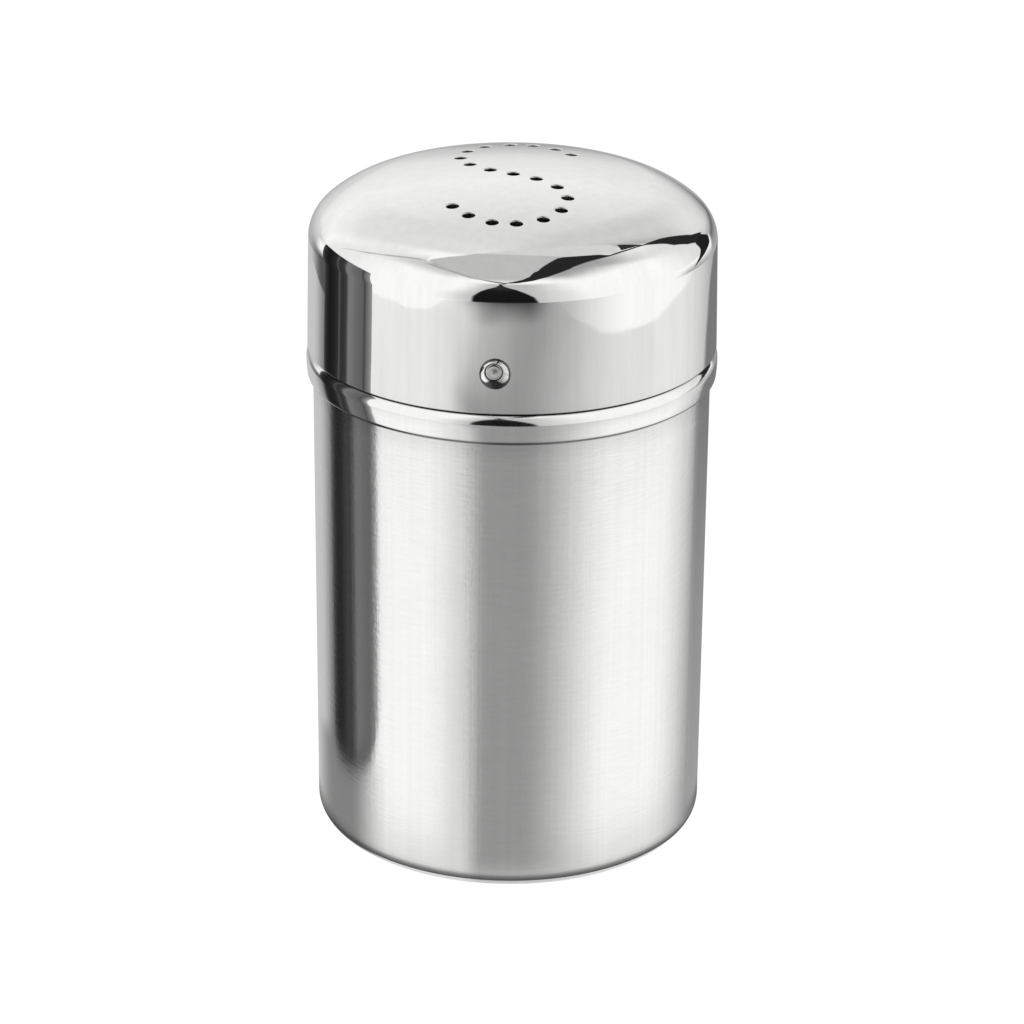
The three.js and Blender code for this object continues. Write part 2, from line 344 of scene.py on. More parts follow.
def add(tree, kind, inputs=None, **settings):
    """Adds a node with its settings. Each input gets a value, or a link from another node's output."""
    made = tree.nodes.new(kind)
    for name, value in settings.items():
        setattr(made, name, value)
    for name, value in (inputs or {}).items():
        if isinstance(value, bpy.types.NodeSocket):
            tree.links.new(value, made.inputs[name])
        else:
            made.inputs[name].default_value = value
    return made


def empty_material(name):
    """A new material, and its node tree with nothing in it."""
    made = bpy.data.materials.new(name)
    made.use_nodes = True
    made.node_tree.nodes.clear()
    return made, made.node_tree


def steel_marks(tree, table):
    """The marks in a steel's face, by name: noises from -0.5 to 0.5. The table gives how many of each
    go to a millimetre along x, y and z, and the noise's detail."""
    place = add(tree, "ShaderNodeTexCoord").outputs["Object"]
    marks = {}
    for name, (per_mm, detail) in table.items():
        stretched = add(tree, "ShaderNodeMapping", {"Vector": place, "Scale": [n / MM for n in per_mm]})
        noise = add(tree, "ShaderNodeTexNoise", {
            "Vector": stretched.outputs["Vector"], "Scale": 1.0, "Detail": detail, "Roughness": 0.6})
        centred = add(tree, "ShaderNodeMath", {0: noise.outputs["Fac"], 1: 0.5}, operation="SUBTRACT")
        marks[name] = centred.outputs[0]
    return marks


def steel_face(tree, colour, pattern, inputs):
    """Finishes a steel. A pattern around zero makes its colour lighter and darker, and painted shade and
    grime make it dark: colour (1 + 0.12 pattern) (1 - 0.92 grime)."""
    grime = add(tree, "ShaderNodeAttribute", attribute_name="grime").outputs["Fac"]
    clean = add(tree, "ShaderNodeMath", {0: grime, 1: -0.92, 2: 1.0}, operation="MULTIPLY_ADD")
    factor = add(tree, "ShaderNodeMath", {0: pattern, 1: 0.12, 2: 1.0}, operation="MULTIPLY_ADD")
    factor = add(tree, "ShaderNodeMath", {0: factor.outputs[0], 1: clean.outputs[0]}, operation="MULTIPLY")
    shade = add(tree, "ShaderNodeVectorMath", {
        0: linear(colour)[:3], "Scale": factor.outputs[0]}, operation="SCALE")
    face = add(tree, "ShaderNodeBsdfPrincipled", {
        "Base Color": shade.outputs[0], "Metallic": 1.0, **inputs})
    add(tree, "ShaderNodeOutputMaterial", {"Surface": face.outputs[0]})


# Stainless steel 304, wall ground with a fine belt while it turned. Hairlines about 0.2 mm apart lie
# around the axis, so a reflection is smeared upwards and keeps its upright edges. Faint upright
# lines are left from the drawing. The bead and neck are buffed, and reflect sharply.
SATIN_COLOUR = "#f6f6f5"
SATIN_ROUGHNESS, BUFFED_ROUGHNESS = 0.17, 0.1
GRINDING_END, BUFFING_START = 84.4 * MM, 85.0 * MM
FURROW_DEPTH = 0.05 * MM
satin, tree = empty_material("satin_stainless")
marks = steel_marks(tree, {
    "hairlines": ((0.06, 0.06, 5.2), 2.0),
    "grain": ((0.3, 0.3, 2.0), 1.0),
    "pits": ((1.4, 1.4, 1.4), 2.0),
    "smudges": ((0.11, 0.11, 0.07), 3.0),
    "draw_lines": ((0.9, 0.9, 0.009), 3.0),
})
pattern, furrows = marks["draw_lines"], marks["grain"]
for name, weight in (("smudges", 0.6), ("grain", 0.6)):
    pattern = add(tree, "ShaderNodeMath", {
        0: marks[name], 1: weight, 2: pattern}, operation="MULTIPLY_ADD").outputs[0]
for name, weight in (("hairlines", 0.4), ("draw_lines", 0.8), ("pits", 0.6)):
    furrows = add(tree, "ShaderNodeMath", {
        0: marks[name], 1: weight, 2: furrows}, operation="MULTIPLY_ADD").outputs[0]
place = add(tree, "ShaderNodeTexCoord").outputs["Object"]
ground = add(tree, "ShaderNodeMapRange", {
    "Value": add(tree, "ShaderNodeSeparateXYZ", {0: place}).outputs["Z"],
    "From Min": GRINDING_END, "From Max": BUFFING_START, "To Min": 1.0, "To Max": 0.0,
}, interpolation_type="SMOOTHSTEP").outputs[0]
furrows = add(tree, "ShaderNodeMath", {0: furrows, 1: ground}, operation="MULTIPLY").outputs[0]
bump = add(tree, "ShaderNodeBump", {"Strength": 0.35, "Distance": FURROW_DEPTH, "Height": furrows})
hair_roughness = add(tree, "ShaderNodeMath", {
    0: marks["hairlines"], 1: 0.04, 2: SATIN_ROUGHNESS}, operation="MULTIPLY_ADD")
roughness = add(tree, "ShaderNodeMix", {0: ground, 2: BUFFED_ROUGHNESS, 3: hair_roughness.outputs[0]})
tangent = add(tree, "ShaderNodeTangent", direction_type="RADIAL", axis="Z")
steel_face(tree, SATIN_COLOUR, pattern, {
    "Roughness": roughness.outputs[0], "Anisotropic": 0.6, "Anisotropic Rotation": 0.25,
    "Tangent": tangent.outputs[0], "Normal": bump.outputs[0],
})


def make_piece(name, skin, material, body, node):
    """Turns a skin into a mesh in metres that stands for a CAD node and rides on its body."""
    mesh = bpy.data.meshes.new(name)
    faces = [face for part in skin.faces for face in part.tolist()]
    mesh.from_pydata((np.concatenate(skin.points) * MM).tolist(), [], faces)
    mesh.polygons.foreach_set("use_smooth", np.ones(len(mesh.polygons), bool))
    normals = np.concatenate(skin.normals)
    normals /= np.linalg.norm(normals, axis=1, keepdims=True)
    mesh.normals_split_custom_set_from_vertices(normals.tolist())
    grime = np.concatenate(skin.grime).astype(np.float32)
    mesh.attributes.new("grime", "FLOAT", "POINT").data.foreach_set("value", grime)
    mesh.materials.append(material)
    piece = bpy.data.objects.new(name, mesh)
    bpy.context.scene.collection.objects.link(piece)
    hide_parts(node)
    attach(piece, body)


make_piece("drawn_cup", cup, satin, "cup", "cup_shell")

# Lid. Drawn from the same sheet, then buffed to a mirror: a skirt that narrows a little upwards, a
# rounded shoulder and a nearly flat crown. Its nineteen holes are punched from outside, which rolls
# their edges in. Two small holes in the skirt take the pins.
RIM = 90.66
RIM_RADIUS = 35.95
SKIRT_BASE, SKIRT_TOP, SKIRT_DRAFT = 90.75, 110.23, 0.39
SHOULDER, SHOULDER_TURN = 6.6, np.radians(49.5)
BRIM, CROWN = 18.9, 148.0
RIM_ROUNDING, RIM_INNER = 0.26, 0.16
PLATE_RADIUS = 24.6
HOLE_RADIUS, HOLE_ROLL, HOLE_SIDES = 1.06, 0.28, 32
# Rings of a hole, from its rolled edge to the lid's inner face: distance outwards from its side,
# depth under the outer face, and the normal's shares into the hole and up.
HOLE_RINGS = [
    (HOLE_ROLL * (1 - np.sin(slope)), HOLE_ROLL * (1 - np.cos(slope)), np.sin(slope), np.cos(slope))
    for slope in np.radians([0, 15, 30, 45, 60, 75, 90])
] + [(0, SHEET - 0.08, 1, 0), (0.05, SHEET - 0.02, 0.7, -0.3), (0.12, SHEET, 0, -1),
     (HOLE_ROLL, SHEET, 0, -1)]
# How dark each ring is drawn: painted shade down the rolled edges and on the walls in the holes.
HOLE_SHADE = np.array([[0, 0, 0, 0.1, 0.7, 0.75, 0.45, 0.4, 0.4, 0.3, 0]]).T
SPREAD_WIDTH, SPREAD_LENGTH = 20.4, 44.2
HOLE_SHARES = np.array([
    (1, 0.67), (0.73, 0.85), (0.34, 0.98), (-0.06, 1), (-0.5, 0.92),
    (-0.8, 0.74), (-0.91, 0.5), (-0.74, 0.28), (-0.39, 0.11),
])
SHANK_HOLE, SHANK_SIDES, SHANK_LIP = 1.25, 24, 0.1
# Of the mesh: the skirt's band with the pins' holes, and the inner points of the crown's plate.
WINDOW, WINDOW_ROWS, WINDOW_MARGIN = (93.6, 102.2), 9, 0.5
PLATE_SPACING, PLATE_REACH, PLATE_MARGIN, BORDER_MARGIN = 0.9, 27, 0.3, 0.4

tilt = np.arctan(SKIRT_DRAFT / (SKIRT_TOP - SKIRT_BASE))
skirt_end = np.array([RIM_RADIUS - SKIRT_DRAFT, SKIRT_TOP])
shoulder_centre = skirt_end - SHOULDER * unit_at(tilt)
brim_centre = shoulder_centre + (SHOULDER - BRIM) * unit_at(SHOULDER_TURN)
brim_turn = np.arccos(brim_centre[0] / (CROWN - BRIM))
crown_centre = np.array([0, brim_centre[1] - (CROWN - BRIM) * np.sin(brim_turn)])
plate_turn = np.arccos((PLATE_RADIUS - brim_centre[0]) / BRIM)


def skirt_radius(height):
    """Outer radius of the skirt, which narrows evenly from its rim to its top."""
    return RIM_RADIUS - np.tan(tilt) * (height - SKIRT_BASE)


def skirt(start, end, steps):
    """Rows on the skirt's outer face between two heights."""
    return line((skirt_radius(start), start), (skirt_radius(end), end), steps)


def dome(flat):
    """Height and normal over a flat point: on the crown's sphere, or on the brim's arc beyond it."""
    r = np.linalg.norm(flat, axis=-1)
    reach = CROWN * np.cos(brim_turn)
    on_crown = r <= reach
    radius = np.where(on_crown, CROWN, BRIM)
    centre = np.where(on_crown[:, None], crown_centre, brim_centre)
    nr = (r - centre[:, 0]) / radius
    nz = np.sqrt(1 - nr**2)
    unit = flat / np.maximum(r, 1e-9)[:, None]
    return centre[:, 1] + radius * nz, np.hstack([unit * nr[:, None], nz[:, None]])


def on_dome(depth, facing):
    """Places flat points (x, y) on the dome, or a depth below it along its normal."""
    def place(flat):
        z, normal = dome(flat)
        return np.hstack([flat, z[:, None]]) - depth * normal, facing * normal
    return place


above_window = path(
    skirt(WINDOW[1], SKIRT_TOP, 4),
    arc(shoulder_centre, SHOULDER, tilt, SHOULDER_TURN, 30),
    arc(brim_centre, BRIM, SHOULDER_TURN, plate_turn, 40),
)
below_window = skirt(RIM + RIM_ROUNDING, WINDOW[0], 2)
rim_outer = skirt_radius(RIM) - RIM_ROUNDING
rim_inner = skirt_radius(RIM) - SHEET + RIM_INNER
rim_rows = path(
    arc((rim_inner, RIM + RIM_INNER), RIM_INNER, -np.pi, -np.pi / 2, 6),
    arc((rim_outer, RIM + RIM_ROUNDING), RIM_ROUNDING, -np.pi / 2, tilt, 10),
)
lid = Skin()
inner_top = lid.add(*turned(other_face(above_window, SHEET), around))
rim_path = path(other_face(below_window, SHEET), rim_rows, below_window)
# The rim's lowest edge is drawn dark: painted shade of the seam where the lid sits on the bead.
rim_grid = lid.add(*turned(rim_path, around), 1 - fade(rim_path[:, 1:2] - RIM - 0.08, 0.2))
outer_top = lid.add(*turned(above_window, around))
for grid in (inner_top, rim_grid, outer_top):
    lid.weave(grid)

# The skirt's band with the pins' two holes.
pin_radius = skirt_radius(PIN_HEIGHT)
spin = np.arange(SHANK_SIDES) * 2 * np.pi / SHANK_SIDES
circles, circle_numbers = [], []
for direction in PIN_DIRECTIONS:
    middle = np.array([(direction - SEAM) * NECK_RADIUS, PIN_HEIGHT])
    circle = middle + (SHANK_HOLE + EDGE / 2) * unit_at(spin)
    circle[:, 0] = middle[0] + (circle[:, 0] - middle[0]) * NECK_RADIUS / pin_radius
    out = np.array([np.cos(direction), np.sin(direction), 0])
    aside = np.array([-np.sin(direction), np.cos(direction), 0])
    away = np.cos(spin)[:, None] * aside + np.sin(spin)[:, None] * np.array([0, 0, 1.0])
    outer_spots, outer_normals = on_cylinder(pin_radius, tilt, 1.0, PIN_HEIGHT)(circle)
    inner_spots, inner_normals = on_cylinder(pin_radius - SHEET, tilt, -1.0, PIN_HEIGHT)(circle)
    shrink = away * EDGE / 2
    lip = SHANK_LIP * out
    hole_rings = lid.add(
        np.array([outer_spots, outer_spots - shrink - lip, inner_spots - shrink + lip, inner_spots]),
        np.array([outer_normals, -away, -away, inner_normals]),
    )
    lid.weave(hole_rings)
    circles.append(circle)
    circle_numbers.append(hole_rings)
ring_low, ring_high = ring.copy(), ring.copy()
ring_low[:, 1], ring_high[:, 1] = WINDOW
starts = np.cumsum([0, COLUMNS + 1, COLUMNS + 1, SHANK_SIDES])
skirt_lines = chain(starts[0] + np.arange(COLUMNS + 1)) + chain(starts[1] + np.arange(COLUMNS + 1))
for start in starts[2:]:
    skirt_lines += chain(start + np.arange(SHANK_SIDES), closes=True)
skirt_lattice = np.stack(np.meshgrid(ring[:, 0], np.linspace(*WINDOW, WINDOW_ROWS)[1:-1]), -1)
skirt_sides = []
for low, high, k, depth, facing in ((rim_grid[-1], outer_top[0], 0, 0, 1.0),
                                    (rim_grid[0], inner_top[-1], -1, SHEET, -1.0)):
    skirt_sides.append((
        np.concatenate([np.append(low, low[0]), np.append(high, high[0])]
                       + [numbers[k] for numbers in circle_numbers]),
        on_cylinder(pin_radius - depth, tilt, facing, PIN_HEIGHT), facing < 0,
    ))
fill(lid, np.vstack([ring_low, ring_high, *circles]), skirt_lines, circles, skirt_lattice,
     WINDOW_MARGIN, skirt_sides, wraps=True)

# The crown's plate with the punched holes: one in the middle, and nine that half a turn repeats.
half_s = HOLE_SHARES * [SPREAD_WIDTH / 2, SPREAD_LENGTH / 2]
spin = np.arange(HOLE_SIDES) * 2 * np.pi / HOLE_SIDES
unit = unit_at(spin)
inward = np.hstack([-unit, 0 * unit[:, :1]])
hole_flats, hole_numbers = [], []
for centre in np.vstack([[[0, 0]], half_s, -half_s]):
    rings, normals = [], []
    for reach, depth, into, rise in HOLE_RINGS:
        spots = centre + (HOLE_RADIUS + reach) * unit
        points, up = on_dome(depth, 1.0)(spots)
        rings.append(points)
        normals.append(into * inward + rise * up)
    numbers = lid.add(np.array(rings), np.array(normals), HOLE_SHADE)
    lid.weave(numbers)
    hole_flats.append(spots)
    hole_numbers.append(numbers)
border = PLATE_RADIUS * unit_at(around)
plate_lines = chain(np.arange(COLUMNS), closes=True)
for k in range(len(hole_flats)):
    plate_lines += chain(COLUMNS + k * HOLE_SIDES + np.arange(HOLE_SIDES), closes=True)
# A triangular lattice. Points past the plate are put on its border, where fill leaves them out.
xs, ys = np.meshgrid(np.arange(-PLATE_REACH, PLATE_REACH + 0.1, PLATE_SPACING),
                     np.arange(-PLATE_REACH, PLATE_REACH + 0.1, PLATE_SPACING * 0.866))
xs = xs + PLATE_SPACING / 2 * (np.arange(len(ys)) % 2)[:, None]
far = np.hypot(xs, ys) > PLATE_RADIUS - BORDER_MARGIN
xs[far], ys[far] = border[0, 0], border[0, 1]
fill(
    lid, np.vstack([border, *hole_flats]), plate_lines, hole_flats, np.stack([xs, ys], -1), PLATE_MARGIN,
    [
        (np.concatenate([outer_top[-1]] + [n[0] for n in hole_numbers]), on_dome(0, 1.0), False),
        (np.concatenate([inner_top[0]] + [n[-1] for n in hole_numbers]), on_dome(SHEET, -1.0), True),
    ],
)

# The same steel, buffed with a felt wheel to a mirror. What the wheel leaves are very faint marks
# along its way and a slight waviness, which makes long reflections wander.
MIRROR_COLOUR = "#f8f8f7"
MIRROR_ROUGHNESS = 0.028
WAVE_DEPTH = 0.2 * MM
mirror, tree = empty_material("mirror_buffed_stainless")
marks = steel_marks(tree, {
    "wheel": ((0.5, 0.5, 0.06), 3.0),
    "waves": ((0.045, 0.045, 0.045), 2.0),
    "draw_lines": ((0.8, 0.8, 0.012), 3.0),
})
roughness = add(tree, "ShaderNodeMath", {
    0: marks["wheel"], 1: 0.03, 2: MIRROR_ROUGHNESS}, operation="MULTIPLY_ADD")
pattern = add(tree, "ShaderNodeMath", {0: marks["wheel"], 1: marks["draw_lines"]}, operation="ADD")
bump = add(tree, "ShaderNodeBump", {"Strength": 0.35, "Distance": WAVE_DEPTH, "Height": marks["waves"]})
steel_face(tree, MIRROR_COLOUR, pattern.outputs[0], {
    "Roughness": roughness.outputs[0], "Normal": bump.outputs[0]})
make_piece("domed_lid", lid, mirror, "lid", "lid_shell")

# Bayonet pins, two alike. Each is a shouldered semi-tubular rivet of stainless steel: its stud runs
# in a slot of the neck, its shank goes through the skirt, and its hollow end is rolled over outside,
# where it forms a ring with a sunk middle that the tool set a little off centre.
PIN_SIDES = 64
STUD_RADIUS, STUD_TIP, STUD_EDGE, COLLAR_EDGE = 2.0, -2.69, 0.3, 0.1
HEAD_PROFILE = [
    (2.42, 0.0), (2.58, 0.07), (2.63, 0.24), (2.56, 0.42), (2.37, 0.58), (2.1, 0.77), (1.85, 0.93),
    (1.68, 1.01), (1.56, 0.98), (1.49, 0.88), (1.44, 0.82), (1.37, 0.86), (1.25, 0.93), (0.9, 0.945),
    (0.4, 0.94), (0.0, 0.93),
]
SET_OFF = (-0.14, 0.6)
# Painted shade on the head. Its lower side is dark up to an angle that grows with the distance
# from the middle, a dark line lies in its groove, and a dark spot in the sunk middle.
DARK_BELOW = np.array([(1.46, -30), (1.5, 18), (1.8, 26), (2.1, 38), (2.3, 62), (2.42, 110), (2.54, 190)])
GROOVE_RADIUS, GROOVE_HALF = 1.45, 0.06
# The dark spot of painted shade in the sunk middle: its place, width and darkness.
SUNK_SPOT, SUNK_SPOT_WIDTH, SUNK_SPOT_SHADE = (0.28, 0.2), 0.8, 0.7
# Two patches of painted dark reflection: side, turn above the level in radians, half width and
# fade in degrees, the distance from the middle where it starts and its fade, and its darkness.
DARK_REFLECTION_PATCHES = ((-1, 0.7, 45, 20, 2.1, 0.2, 0.75), (1, 0.6, 24, 26, 1.5, 0.15, 0.3))


def smooth_curve(points, steps):
    """Catmull-Rom spline through points."""
    p = np.array(points, float)
    p = np.vstack([2 * p[0] - p[1], p, 2 * p[-1] - p[-2]])
    t = np.linspace(0, 1, steps, endpoint=False)[None, :, None]
    a, b, c, d = (p[i:len(p) - 3 + i][:, None] for i in range(4))
    curve = 0.5 * (2 * b + (c - a) * t + (2 * a - 5 * b + 4 * c - d) * t**2
                   + (3 * b - a - 3 * c + d) * t**3)
    return np.vstack([curve.reshape(-1, 2), p[-2]])


def pin_profile():
    """Points (distance from the pin's axis, height over the skirt), from its tip to its head."""
    tip, back = STUD_TIP, -SHEET - 0.07
    edge, collar = STUD_EDGE, COLLAR_EDGE
    shank = SHANK_HOLE - 0.05
    stud = path(
        line((0.3, tip), (STUD_RADIUS - edge, tip)),
        arc((STUD_RADIUS - edge, tip + edge), edge, -np.pi / 2, 0, 6),
        arc((STUD_RADIUS - collar, back - collar), collar, 0, np.pi / 2, 4),
        line((STUD_RADIUS - collar, back), (shank, back)),
        line((shank, back + 0.01), (shank, -0.01)),
        line((shank, 0.0), HEAD_PROFILE[0]),
    )
    return np.vstack([stud[:, :2], smooth_curve(HEAD_PROFILE, 4)[1:-1]])


def head_grime(r, cos, sin):
    """Painted shade at a distance from the head's middle and a direction: the most that any mark gives."""
    off_foot = np.degrees(abs(np.arctan2(cos, -sin)))
    marks = [
        1 - fade(off_foot - np.interp(r, *DARK_BELOW.T), 14),
        1 - fade(abs(r - GROOVE_RADIUS) - GROOVE_HALF, 0.12),
        SUNK_SPOT_SHADE - SUNK_SPOT_SHADE * fade(
            np.hypot(r * cos - SUNK_SPOT[0], r * sin - SUNK_SPOT[1]), SUNK_SPOT_WIDTH),
    ]
    for side, middle, half, soft, start, rise, dark in DARK_REFLECTION_PATCHES:
        off_middle = np.degrees(abs(np.arctan2(sin, side * cos) - middle))
        marks.append(dark * fade(r - start, rise) * (1 - fade(off_middle - half, soft)))
    return np.max(np.broadcast_arrays(*marks), axis=0)


def pin_skin(direction):
    """A pin's profile turned about its axis, which stands square on the skirt. The rings of the
    sunk middle are moved off centre, and the underside of the head follows the skirt's curve."""
    angle = np.arange(PIN_SIDES) * 2 * np.pi / PIN_SIDES
    cos, sin = np.cos(angle)[None], np.sin(angle)[None]
    r, h = pin_profile().T[..., None]
    head = np.where(h >= 0, np.clip((2.6 - r) / 1.1, 0, 1), 0)
    move = head * head * (3 - 2 * head)
    y = r * cos + move * SET_OFF[0]
    z = r * sin + move * SET_OFF[1]
    follow = np.where(h >= 0, np.clip((0.6 - h) / 0.6, 0, 1), 0)
    x = h - follow * y**2 / 2 / pin_radius
    out = np.array([np.cos(direction) * np.cos(tilt), np.sin(direction) * np.cos(tilt), np.sin(tilt)])
    aside = np.array([-np.sin(direction), np.cos(direction), 0])
    up = np.cross(out, aside)
    seat = np.array([pin_radius * np.cos(direction), pin_radius * np.sin(direction), PIN_HEIGHT])
    points = seat + x[..., None] * out + y[..., None] * aside + z[..., None] * up
    across, along = np.gradient(points, axis=0), np.roll(points, -1, 1) - np.roll(points, 1, 1)
    normals = np.cross(along, across)
    normals /= np.linalg.norm(normals, axis=-1, keepdims=True) + 1e-12
    made = Skin()
    grid = made.add(points, normals, np.where(h > 0.02, head_grime(r, cos, sin), 0))
    made.weave(grid)
    tip, core = made.add(np.array([points[0].mean(0), points[-1].mean(0)]), np.array([-out, out]))
    made.fan(tip, grid[0])
    made.fan(core, grid[-1], flip=True)
    return made


for name, node, direction in (("rivet_pin_front", "bayonet_pin_front", PIN_DIRECTIONS[1]),
                              ("rivet_pin_rear", "bayonet_pin_rear", PIN_DIRECTIONS[0])):
    make_piece(name, pin_skin(direction), mirror, "lid", node)

# Floor. A wide matt white sheet that looks plain white from the camera and in the steel, and keeps a
# faint shadow of the shaker.
FLOOR_HALF, FLOOR_LEVEL = 3.0, -0.0001
floor_mesh = bpy.data.meshes.new("floor")
floor_mesh.from_pydata(
    [(FLOOR_HALF * x, FLOOR_HALF * y, FLOOR_LEVEL) for x, y in ((-1, -1), (1, -1), (1, 1), (-1, 1))],
    [], [(0, 1, 2, 3)])
floor = bpy.data.objects.new("floor", floor_mesh)
bpy.context.scene.collection.objects.link(floor)
paper, tree = empty_material("white_paper")
rays = add(tree, "ShaderNodeLightPath")
matt = add(tree, "ShaderNodeBsdfDiffuse", {"Color": linear("#ececec")})
faint = add(tree, "ShaderNodeBsdfDiffuse", {"Color": linear("#6f6f6f")})
glow = add(tree, "ShaderNodeEmission", {"Color": linear("#f4f4f4"), "Strength": 1.0})
seen = add(tree, "ShaderNodeAddShader", {0: faint.outputs[0], 1: glow.outputs[0]})
white = add(tree, "ShaderNodeEmission", {"Strength": 1.0})
by_camera = add(tree, "ShaderNodeMixShader", {
    0: rays.outputs["Is Camera Ray"], 1: matt.outputs[0], 2: seen.outputs[0]})
by_gloss = add(tree, "ShaderNodeMath", {
    0: rays.outputs["Is Glossy Ray"], 1: rays.outputs["Is Transmission Ray"]}, operation="MAXIMUM")
both = add(tree, "ShaderNodeMixShader", {
    0: by_gloss.outputs[0], 1: by_camera.outputs[0], 2: white.outputs[0]})
add(tree, "ShaderNodeOutputMaterial", {"Surface": both.outputs[0]})
floor_mesh.materials.append(paper)

# Studio. White all round, as in the photograph, with two broad soft lamps and one above. Black and
# grey cards stand or hang where its white walls had gaps and shades, and show only in the steel.
# Directions are given from the camera's side, to the right, and above the horizon.
LIGHT_FROM_ROOM = 0.45
LAMPS_AIM = Vector((0, 0, 0.06))
world = bpy.data.worlds.new("white_room")
bpy.context.scene.world = world
world.cycles.sampling_method = "NONE"
world.use_nodes = True
tree = world.node_tree
tree.nodes.clear()
rays = add(tree, "ShaderNodeLightPath")
shown = rays.outputs["Is Camera Ray"]
for kind in ("Is Glossy Ray", "Is Transmission Ray"):
    shown = add(tree, "ShaderNodeMath", {0: shown, 1: rays.outputs[kind]}, operation="MAXIMUM").outputs[0]
strength = add(tree, "ShaderNodeMapRange", {"Value": shown, "To Min": LIGHT_FROM_ROOM, "To Max": 1.0})
sky = add(tree, "ShaderNodeBackground", {"Color": linear("#ffffff"), "Strength": strength.outputs[0]})
add(tree, "ShaderNodeOutputWorld", {"Surface": sky.outputs[0]})


def lamp(name, spot, size, power):
    """A square lamp that faces the shaker and doesn't show in the steel."""
    data = bpy.data.lights.new(name, "AREA")
    data.size, data.energy = size, power
    made = bpy.data.objects.new(name, data)
    made.location = spot
    made.rotation_euler = (LAMPS_AIM - Vector(spot)).to_track_quat("-Z", "Y").to_euler()
    made.visible_glossy = made.visible_camera = False
    bpy.context.scene.collection.objects.link(made)


lamp("softbox_left", (-1.3, -0.7, 1.0), 1.2, 7)
lamp("softbox_right", (1.3, -0.6, 1.0), 1.2, 7)
lamp("softbox_top", (0.0, 0.2, 1.7), 1.4, 9)


# Points of a card's grid, along it and across it, and metres between two levels on the floor.
ALONG, ACROSS = 72, 48
LEVEL_STEP = 0.0002
LID_LEVEL = 0.115


def even(points):
    """Points along a broken line, equally many on each of its parts."""
    points = np.array(points, float)
    at = np.linspace(0, len(points) - 1, ALONG)
    return np.stack([np.interp(at, np.arange(len(points)), axis) for axis in points.T], -1)


def show_in_steel(name, spots, cover, shade):
    """A sheet over a grid of places that shows only in the steel, as bright as its shade says and as
    solid as its cover says."""
    along, across = spots.shape[:2]
    grid = np.arange(across * along).reshape(along, across)
    quads = np.stack([grid[:-1, :-1], grid[:-1, 1:], grid[1:, 1:], grid[1:, :-1]], -1).reshape(-1, 4)
    mesh = bpy.data.meshes.new(name)
    mesh.from_pydata(spots.reshape(-1, 3).tolist(), [], quads.tolist())
    for key, values in (("cover", cover), ("shade", shade)):
        values = np.broadcast_to(values, (along, across)).astype(np.float32).ravel()
        mesh.attributes.new(key, "FLOAT", "POINT").data.foreach_set("value", values)
    material, tree = empty_material(name)
    cover = add(tree, "ShaderNodeAttribute", attribute_name="cover").outputs["Fac"]
    shade = add(tree, "ShaderNodeAttribute", attribute_name="shade").outputs["Fac"]
    clear = add(tree, "ShaderNodeBsdfTransparent")
    glow = add(tree, "ShaderNodeEmission", {"Strength": shade})
    mix = add(tree, "ShaderNodeMixShader", {0: cover, 1: clear.outputs[0], 2: glow.outputs[0]})
    add(tree, "ShaderNodeOutputMaterial", {"Surface": mix.outputs[0]})
    mesh.materials.append(material)
    made = bpy.data.objects.new(name, mesh)
    bpy.context.scene.collection.objects.link(made)
    made.visible_camera = made.visible_diffuse = made.visible_shadow = False
    made.visible_transmission = made.visible_volume_scatter = False


def card(name, left, right, shade, lay, soft=(0.02, 0.02, 0.02, 0.02)):
    """A card between two edges, as a ruled surface: (1 - s) left(t) + s right(t).
    Its cover fades out over the given shares of its width at the left, right, start and end."""
    a, b = even(left), even(right)
    s = np.linspace(0, 1, ACROSS)[None, :, None]
    t = np.linspace(0, 1, ALONG)[:, None]
    spots = lay(((1 - s) * a[:, None] + s * b[:, None]).reshape(-1, a.shape[1]))
    cover = (fade(s[..., 0], soft[0]) * fade(1 - s[..., 0], soft[1])
             * fade(t, soft[2]) * fade(1 - t, soft[3]))
    show_in_steel(name, spots.reshape(ALONG, ACROSS, 3), cover, shade)


def plain_card(name, sides, ends, shade, lay, soft):
    """A card between two directions, from one height or distance to another."""
    left, right = ([(side, end) for end in ends] for side in sides)
    card(name, left, right, shade, lay, soft)


def tone(start, end, places, values):
    """Shade along a card, from values at places between its start and its end."""
    return np.interp(np.linspace(start, end, ALONG), places, values)[:, None]


def far_off(distance):
    """Directions (azimuth, elevation) to places that the lid's face turned half that way sees there."""
    radius, height = 0.0345, 0.112

    def lay(directions):
        azimuth, rise = np.radians(directions[:, 0]), np.radians(directions[:, 1])
        half = azimuth / 2
        start = np.stack([radius * np.sin(half), -radius * np.cos(half), height + 0 * half], -1)
        way = np.stack([np.cos(rise) * np.sin(azimuth), -np.cos(rise) * np.cos(azimuth), np.sin(rise)], -1)
        return start + distance * way
    return lay


def overhead(distance):
    """Places over the lid: (x, y) are degrees from the zenith to the right and to the back."""
    def lay(offsets):
        tip = np.radians(np.hypot(offsets[:, 0], offsets[:, 1]))
        azimuth = np.arctan2(offsets[:, 0], offsets[:, 1])
        way = np.stack([np.sin(tip) * np.sin(azimuth), np.sin(tip) * np.cos(azimuth), np.cos(tip)], -1)
        return np.array([0, 0, LID_LEVEL]) + distance * way
    return lay


def on_floor(level, turn=2):
    """Places on the floor: (p, d) is d metres from where the wall faces p degrees to the right of the
    camera, on its reflection's way at twice that, or straight out with a turn of 1. A card with a
    higher level lies on top."""
    def lay(points):
        facing, distance = np.radians(points[:, 0]), points[:, 1]
        x = CUP_RADIUS * MM * np.sin(facing) + distance * np.sin(turn * facing)
        y = -CUP_RADIUS * MM * np.cos(facing) - distance * np.cos(turn * facing)
        return np.stack([x, y, LEVEL_STEP * level + 0 * x], -1)
    return lay


